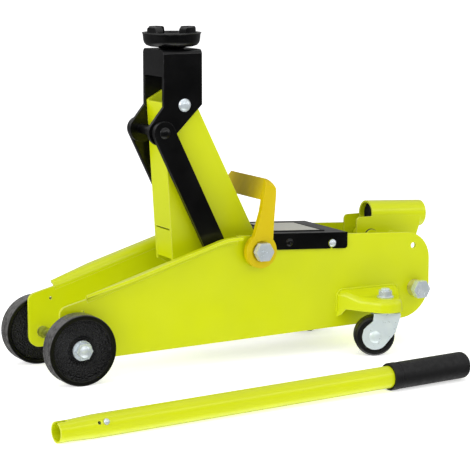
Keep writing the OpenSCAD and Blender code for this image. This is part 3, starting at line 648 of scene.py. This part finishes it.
def box_mesh(name, low, high, bevel):
    """Bevelled block between two corners."""
    form = bmesh.new()
    bmesh.ops.create_cube(form, size=1.0)
    span = high - low
    bmesh.ops.scale(form, vec=span, verts=form.verts)
    bmesh.ops.translate(form, vec=(low + high) / 2, verts=form.verts)
    bmesh.ops.bevel(form, geom=form.edges[:], offset=bevel, segments=2, profile=0.5, affect="EDGES")
    mesh = bpy.data.meshes.new(name)
    form.to_mesh(mesh)
    form.free()
    return mesh


def lathe(name, outline, origin, axis, steps=64):
    """Closed outline of (radius, distance along the axis) pairs in mm, turned about an axis."""
    axis = Vector(axis).normalized()
    side = axis.orthogonal().normalized()
    other = axis.cross(side)
    form = bmesh.new()
    rings = []
    for k in range(steps):
        a = 2 * math.pi * k / steps
        out = math.cos(a) * side + math.sin(a) * other
        rings.append([form.verts.new(origin + r * MM * out + h * MM * axis) for r, h in outline])
    for k in range(steps):
        a, b = rings[k], rings[(k + 1) % steps]
        for i in range(len(outline)):
            j = (i + 1) % len(outline)
            form.faces.new((a[i], a[j], b[j], b[i]))
    bmesh.ops.recalc_face_normals(form, faces=form.faces)
    mesh = bpy.data.meshes.new(name)
    form.to_mesh(mesh)
    form.free()
    return smooth(mesh)


def weld(name, path, radius, body):
    """Painted weld bead: a tube along the path that swells at every ripple."""
    ripple = 2.2 * MM
    points = []
    radii = []
    run = 0.0
    for a, b in zip(path, path[1:]):
        steps = max(1, int((b - a).length / (0.45 * MM)))
        for i in range(steps):
            points.append(a.lerp(b, i / steps))
            swell = abs(math.sin(math.pi * (run + (b - a).length * i / steps) / ripple))
            radii.append(radius * (0.8 + 0.2 * swell))
        run += (b - a).length
    return piece(name, sweep(name, points, radii, 8), "lime_paint", body)


def at(x, y, z):
    return Vector((x, y, z)) * MM


SWIVEL = (128.8, 72.0)
BRACKET_X = (91.0, 163.0)
BRACKET_TIP = 17.0
BRACKET_TOP = 63.5
BRACKET_LEVEL = 58.0
BRACKET_BEND = 6.5
BRACKET_CLIMB = 22.0
BRACKET_SHEET = 2.4
SKIRT_FOOT = 36.5
SKIRT_RISE = 8.1


def bracket_plan():
    """Points of the caster bracket's edge from above, front to rear, each with its outward normal."""
    def tangent(x, side):
        dx, dy = x - SWIVEL[0], PLATE_FACE - SWIVEL[1]
        return math.atan2(dy, dx) + side * math.acos(BRACKET_TIP / math.hypot(dx, dy))

    def on_tip(angle):
        out = (math.cos(angle), math.sin(angle))
        return (SWIVEL[0] + BRACKET_TIP * out[0], SWIVEL[1] + BRACKET_TIP * out[1], out)

    def straight(start, end, share, out):
        return (start[0] + (end[0] - start[0]) * share, start[1] + (end[1] - start[1]) * share, out)

    side_steps, tip_steps = 9, 24
    first = tangent(BRACKET_X[0], -1) + 2 * math.pi
    last = tangent(BRACKET_X[1], 1)
    tip = [on_tip(first + (last - first) * i / tip_steps) for i in range(tip_steps + 1)]
    front = (BRACKET_X[0], PLATE_FACE)
    rear = (BRACKET_X[1], PLATE_FACE)
    plan = [straight(front, tip[0], i / side_steps, tip[0][2]) for i in range(side_steps)]
    plan += tip
    plan += [straight(tip[-1], rear, i / side_steps, tip[-1][2]) for i in range(1, side_steps + 1)]
    return plan


def bracket_top(depth):
    """Height of the bracket's top at a distance from the plate."""
    climb = min(1.0, max(0.0, 1.0 - depth / BRACKET_CLIMB))
    return BRACKET_LEVEL + (BRACKET_TOP - BRACKET_LEVEL) * climb * climb * (3 - 2 * climb)


def bracket_column(x, y, out):
    """Points up the skirt, over the bend and back along the top to the plate."""
    bend_steps, top_steps = 6, 8
    low = SKIRT_FOOT + SKIRT_RISE * min(1.0, max(0.0, (y - PLATE_FACE - 3.0) / 5.0))
    inner = (x - out[0] * BRACKET_BEND, y - out[1] * BRACKET_BEND)
    spring = bracket_top(inner[1] - PLATE_FACE) - BRACKET_BEND
    column = [(x, y, low), (x, y, (low + spring) / 2)]
    for k in range(bend_steps + 1):
        a = math.radians(90.0) * k / bend_steps
        back = BRACKET_BEND * (1 - math.cos(a))
        column.append((x - out[0] * back, y - out[1] * back, spring + BRACKET_BEND * math.sin(a)))
    foot = min(inner[1], PLATE_FACE - 1.0)
    for k in range(1, top_steps + 1):
        y_here = inner[1] + (foot - inner[1]) * k / top_steps
        column.append((inner[0], y_here, bracket_top(y_here - PLATE_FACE)))
    return column


def add_caster_brackets():
    """Pressed bracket over each caster: skirt, wide bend and a top that climbs to the plate."""
    for side, name in SIDES:
        form = bmesh.new()
        columns = []
        for x, y, out in bracket_plan():
            columns.append([form.verts.new(at(a, b * side, c)) for a, b, c in bracket_column(x, y, out)])
        for left, right in zip(columns, columns[1:]):
            for k in range(len(left) - 1):
                form.faces.new((left[k], left[k + 1], right[k + 1], right[k]))
        bmesh.ops.remove_doubles(form, verts=form.verts, dist=0.02 * MM)
        bmesh.ops.recalc_face_normals(form, faces=form.faces)
        outermost = max(form.faces, key=lambda face: abs(face.calc_center_median().y))
        if outermost.normal.y * side < 0:
            bmesh.ops.reverse_faces(form, faces=form.faces)
        mesh = bpy.data.meshes.new("pressed_bracket_" + name)
        form.to_mesh(mesh)
        form.free()
        shell = piece("pressed_bracket_" + name, smooth(mesh), "lime_paint", "chassis")
        sheet = shell.modifiers.new("sheet", "SOLIDIFY")
        sheet.thickness = BRACKET_SHEET * MM
        sheet.offset = -1.0
        rim = shell.modifiers.new("rim", "BEVEL")
        rim.width = 0.4 * MM
        rim.segments = 2
        rim.angle_limit = math.radians(50.0)
        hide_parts("caster_bracket_" + name)


def add_bracket_welds():
    """Bead round the edge of each caster bracket where it meets the side plate."""
    x0, x1 = BRACKET_X
    face, top = PLATE_FACE + 0.2, BRACKET_TOP + 0.2
    outline = (
        (x0, top - 22), (x0, top - 6), (x0 + 1.6, top - 2), (x0 + 5.6, top),
        (x1 - 5.6, top), (x1 - 1.6, top - 2), (x1, top - 6), (x1, top - 22),
    )
    for side, name in SIDES:
        weld("bracket_weld_" + name, [at(x, face * side, z) for x, z in outline], 1.2 * MM, "chassis")


LABEL_X = (27.0, 80.0)
LABEL_HALF = 29.0
LABEL_RIM = 2.2
PLATE_LIFT = 0.4
RIM_LIFT = 0.9
SUNK = 0.3


def cover_slab(name, low, high, lift):
    """Thin block between two corners on the cover's sloping top, sunk a little into it."""
    x, y = (low[0] + high[0]) / 2, (low[1] + high[1]) / 2
    z = COVER_TOP - x * math.tan(COVER_SLOPE) + (lift - SUNK) / 2
    span = Vector((high[0] - low[0], high[1] - low[1], lift + SUNK)) * MM
    mesh = box_mesh(name, -span / 2, span / 2, 0.15 * MM)
    mesh.transform(Matrix.Translation(at(x, y, z)) @ Matrix.Rotation(COVER_SLOPE, 4, "Y"))
    return mesh


def add_label():
    """Blank data plate on the cover, inside a raised black rim."""
    x0, x1 = LABEL_X
    outer = LABEL_HALF + LABEL_RIM
    plate = cover_slab("data_plate", (x0, -LABEL_HALF), (x1, LABEL_HALF), PLATE_LIFT)
    piece("data_plate", plate, "zinc", "chassis", label_foil())
    rims = {
        "front": ((x0 - LABEL_RIM, -outer), (x0, outer)),
        "rear": ((x1, -outer), (x1 + LABEL_RIM, outer)),
        "near": ((x0, -outer), (x1, -LABEL_HALF)),
        "far": ((x0, LABEL_HALF), (x1, outer)),
    }
    for side, (low, high) in rims.items():
        name = "label_rim_" + side
        piece(name, cover_slab(name, low, high, RIM_LIFT), "black_plastic", "chassis")


SCREW_CAP = ((0.05, 2.35), (2.0, 2.1), (3.4, 1.3), (4.2, 0.05), (4.2, -0.05), (0.05, -0.05))
PIVOT_SHADOW_RING = ((5.1, 0.02), (5.1, 0.4), (7.8, 0.4), (7.8, 0.02))


def add_dark_caps():
    """Black front screws of the cover, and dark rings behind the heads of the socket's pivot that paint the
    shadow under each head.
    """
    for side, name in SIDES:
        out = (0.0, side, 0.0)
        x, z = COVER_FRONT_SCREW
        mesh = lathe("screw_cap_" + name, SCREW_CAP, at(x, COVER_FACE * side, z), out, 32)
        piece("screw_cap_" + name, mesh, "black_paint", "chassis")
        # Dark ring behind each pivot head: a painted shadow in the gap under the head.
        x, z = SOCKET_PIVOT
        mesh = lathe("pivot_shadow_ring_" + name, PIVOT_SHADOW_RING, at(x, SOCKET_CHEEK_FACE * side, z), out)
        piece("pivot_shadow_ring_" + name, mesh, "black_paint", "chassis")


def add_spacer_welds():
    """Bead round each axle spacer where it meets the side plate."""
    low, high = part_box("front_axle")
    middle = (low + high) / 2
    radius, steps = 9.3 * MM, 48
    for side, name in SIDES:
        y = (PLATE_FACE + 0.3) * MM * side
        path = []
        for k in range(steps + 1):
            a = 2 * math.pi * k / steps
            path.append(Vector((middle.x + radius * math.cos(a), y, middle.z + radius * math.sin(a))))
        weld("spacer_weld_" + name, path, 1.1 * MM, "chassis")


def add_stud_threads():
    """Last turns of thread above each caster nut."""
    low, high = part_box("caster_studs")
    inset, length, radius = 12.5 * MM, 1.75 * MM, 3.95 * MM
    x = (low.x + high.x) / 2
    end_z = high.z - 0.35 * MM
    for name, y in (("near", low.y + inset), ("far", high.y - inset)):
        start, end = Vector((x, y, end_z - length)), Vector((x, y, end_z))
        points = coil_points(start, end, radius, 2.0, 24)
        mesh = sweep("stud_thread_" + name, points, [0.32 * MM] * len(points), 6)
        piece("stud_thread_" + name, mesh, "zinc", "chassis")


def add_socket_shade_liner():
    """Black sheet inside the handle socket's tube: painted shade deep in the bore."""
    start, end, lip, skin_in = 4.0, 55.4, 0.4, 0.17
    inner = SOCKET_BORE - skin_in
    outline = ((SOCKET_BORE, start), (inner, start + lip), (inner, end - lip), (SOCKET_BORE, end))
    x, z = SOCKET_MOUTH
    axis = (math.cos(SOCKET_SLOPE), 0.0, -math.sin(SOCKET_SLOPE))
    mesh = lathe("socket_shade_liner", outline, at(x, 0.0, z), axis)
    # Black sheet that paints the shade deep inside the bore.
    piece("socket_shade_liner", mesh, "black_paint", "handle_socket")


def add_web_shade_strip():
    """Dark strip behind the joint between the two sheets of the arm's front web: painted shade in the gap."""
    low = at(-77.6, -15.1, 129.8)
    high = at(-76.8, 15.1, 136.0)
    # Black strip that paints the shade seen through the seam.
    piece("web_shade_strip", box_mesh("web_shade_strip", low, high, 0.1 * MM), "black_paint", "lift_arm")


def add_plug_ribs():
    low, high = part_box("filler_plug")
    middle = (low + high) / 2
    radius = (high.x - low.x) / 2
    for k in range(14):
        a = 2 * math.pi * k / 14
        foot = Vector((middle.x + radius * math.cos(a), middle.y + radius * math.sin(a), high.z - 3.6 * MM))
        top = Vector((foot.x, foot.y, high.z - 0.5 * MM))
        name = "plug_rib_%02d" % k
        piece(name, sweep(name, [foot, top], [0.45 * MM, 0.4 * MM], 8), "black_plastic", "chassis")


def add_mould_lines():
    """Fine parting line down the front edge of both legs of the carry handle."""
    for side, name in SIDES:
        lean = math.radians(CARRY_LEAN[name])
        points = []
        for v in range(40, 60, 2):
            x = CARRY_FRONT * math.cos(lean) + v * math.sin(lean)
            z = ARM_PIVOT_Z + v * math.cos(lean) - CARRY_FRONT * math.sin(lean)
            points.append(at(x, 49.0 * side, z))
        mesh = sweep("mould_line_" + name, points, [0.22 * MM] * len(points), 6)
        piece("mould_line_" + name, mesh, "yellow_plastic", "carry_handle")


def add_lever_seam():
    """Flattened weld seam along the back of the lever's tube."""
    along = Vector((math.cos(LEVER_TURN), math.sin(LEVER_TURN), math.tan(LEVER_RISE)))
    across = Vector((-math.sin(LEVER_TURN), math.cos(LEVER_TURN), 0.0))
    turned_up = math.radians(24.0)
    out = math.cos(turned_up) * across + math.sin(turned_up) * Vector((0.0, 0.0, 1.0))
    start = at(*LEVER_MOUTH) + out * ((LEVER_RADIUS - 0.15) * MM)
    points = [start + along * (s * MM) for s in range(38, 338, 6)]
    radii = [0.34 * MM * (0.9 + 0.1 * math.sin(1.7 * i)) for i in range(len(points))]
    piece("lever_seam", sweep("lever_seam", points, radii, 6), "lime_paint", "lever")


dress_frame()
add_caster_brackets()
add_bracket_welds()
add_label()
add_dark_caps()
add_spacer_welds()
add_stud_threads()
add_socket_shade_liner()
add_web_shade_strip()
add_plug_ribs()
add_mould_lines()
add_lever_seam()
add_return_springs()
add_plunger_spring()
add_world()
add_lights()
add_floor()
add_camera()
bpy.context.scene.view_settings.view_transform = "Standard"
